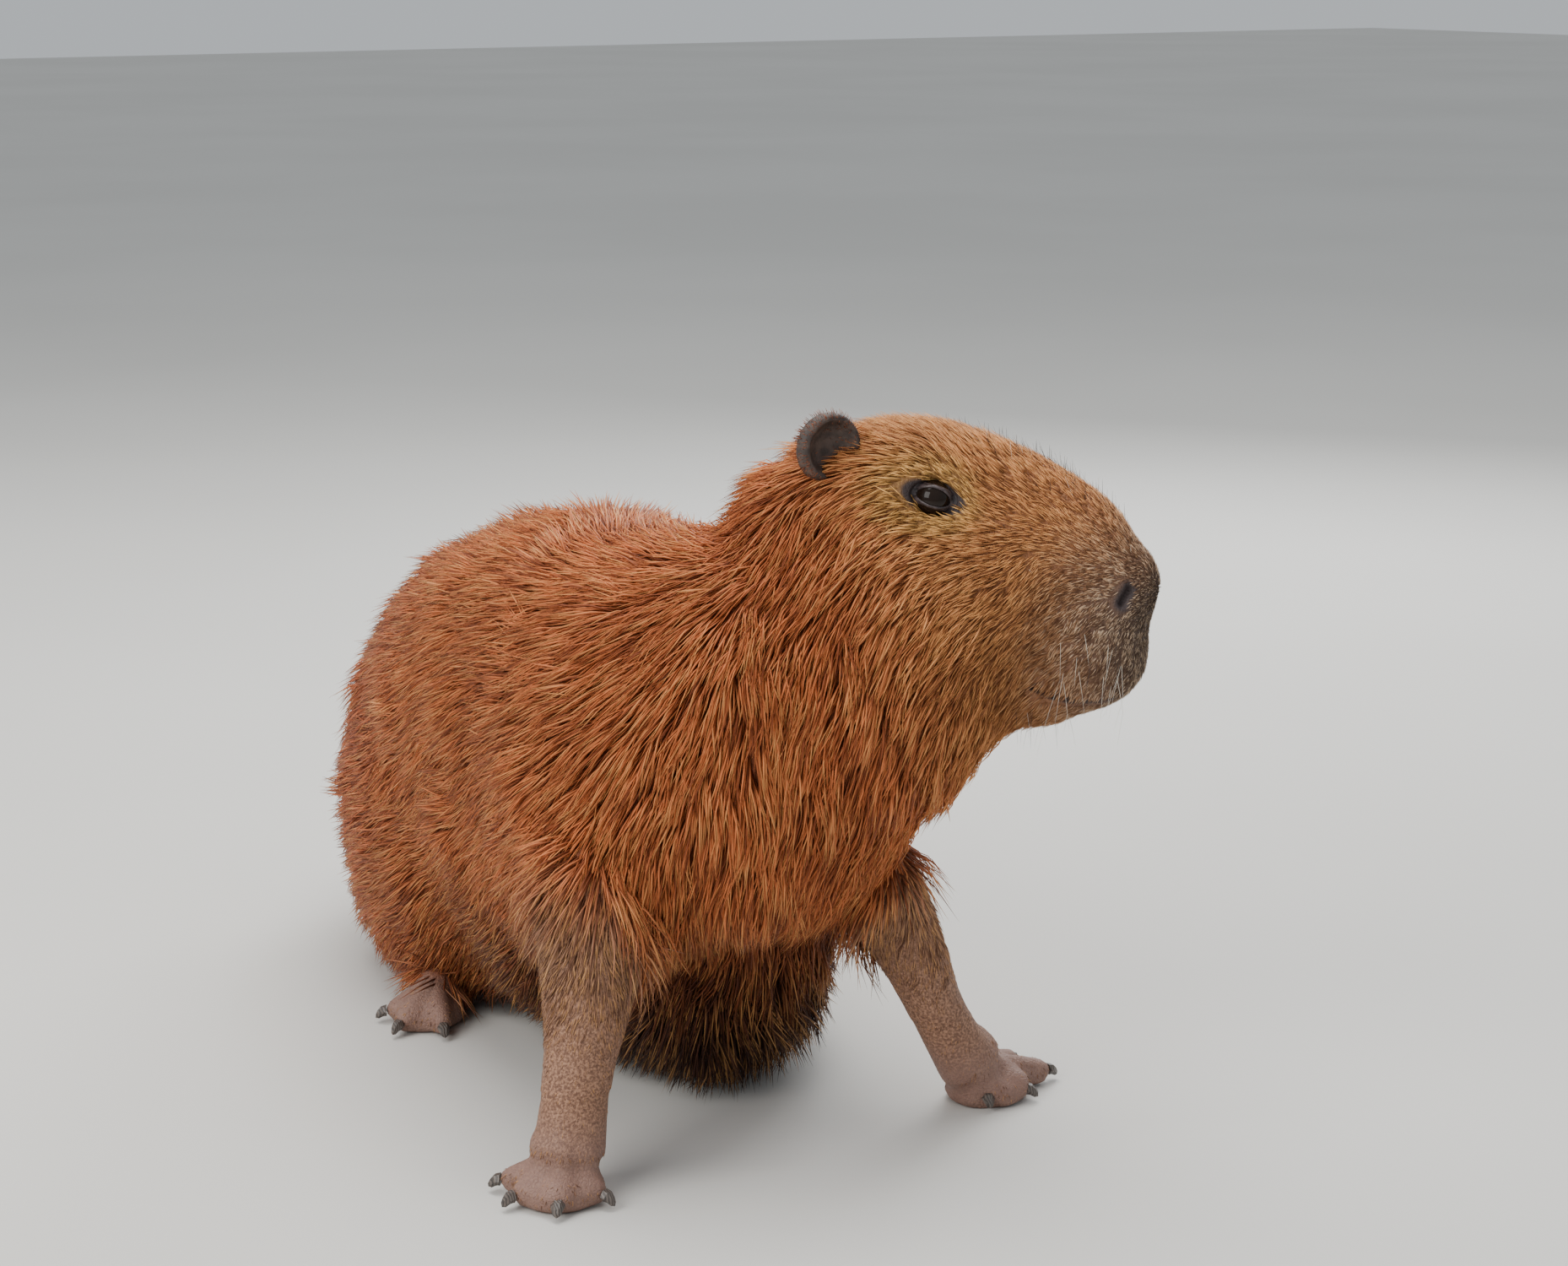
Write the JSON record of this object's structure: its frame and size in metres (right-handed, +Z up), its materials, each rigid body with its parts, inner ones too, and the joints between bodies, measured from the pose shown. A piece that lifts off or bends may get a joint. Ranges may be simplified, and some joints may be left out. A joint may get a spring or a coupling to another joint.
{
  "type": "capybara",
  "caption": "Life-size capybara sitting on its haunches, forelegs straight and splayed, head turned past its left shoulder.",
  "frame": {"origin": "on the ground under the middle of the whole animal's box", "axes": "+Z up; the chest faces -Y, so +X is the animal's left; the rump is towards +Y"},
  "size_m": [0.5118, 0.9016, 0.5624],
  "materials": {
    "rust_coat": "long bristly rust-red hair",
    "gold_coat": "short golden-brown hair",
    "leg_hide": "thin short hair over grey-brown skin",
    "ear_hide": "dark bare skin with a few hairs",
    "eye_gloss": "wet dark eye",
    "claw_horn": "blunt dark horn"
  },
  "bodies": {
    "root": {"torso": "rust_coat", "neck": "rust_coat", "thigh_left": "rust_coat", "thigh_right": "rust_coat", "head": "gold_coat", "eye_left": "eye_gloss", "ear_left": "ear_hide", "foreleg_left": "leg_hide", "forefoot_left": "leg_hide", "hind_foot_left": "leg_hide", "claw_front_left_1": "claw_horn", "claw_front_left_2": "claw_horn", "claw_front_left_3": "claw_horn", "claw_front_left_4": "claw_horn", "claw_hind_left_1": "claw_horn", "claw_hind_left_2": "claw_horn", "claw_hind_left_3": "claw_horn", "eye_right": "eye_gloss", "ear_right": "ear_hide", "foreleg_right": "leg_hide", "forefoot_right": "leg_hide", "hind_foot_right": "leg_hide", "claw_front_right_1": "claw_horn", "claw_front_right_2": "claw_horn", "claw_front_right_3": "claw_horn", "claw_front_right_4": "claw_horn", "claw_hind_right_1": "claw_horn", "claw_hind_right_2": "claw_horn", "claw_hind_right_3": "claw_horn"}
  },
  "joints": []
}
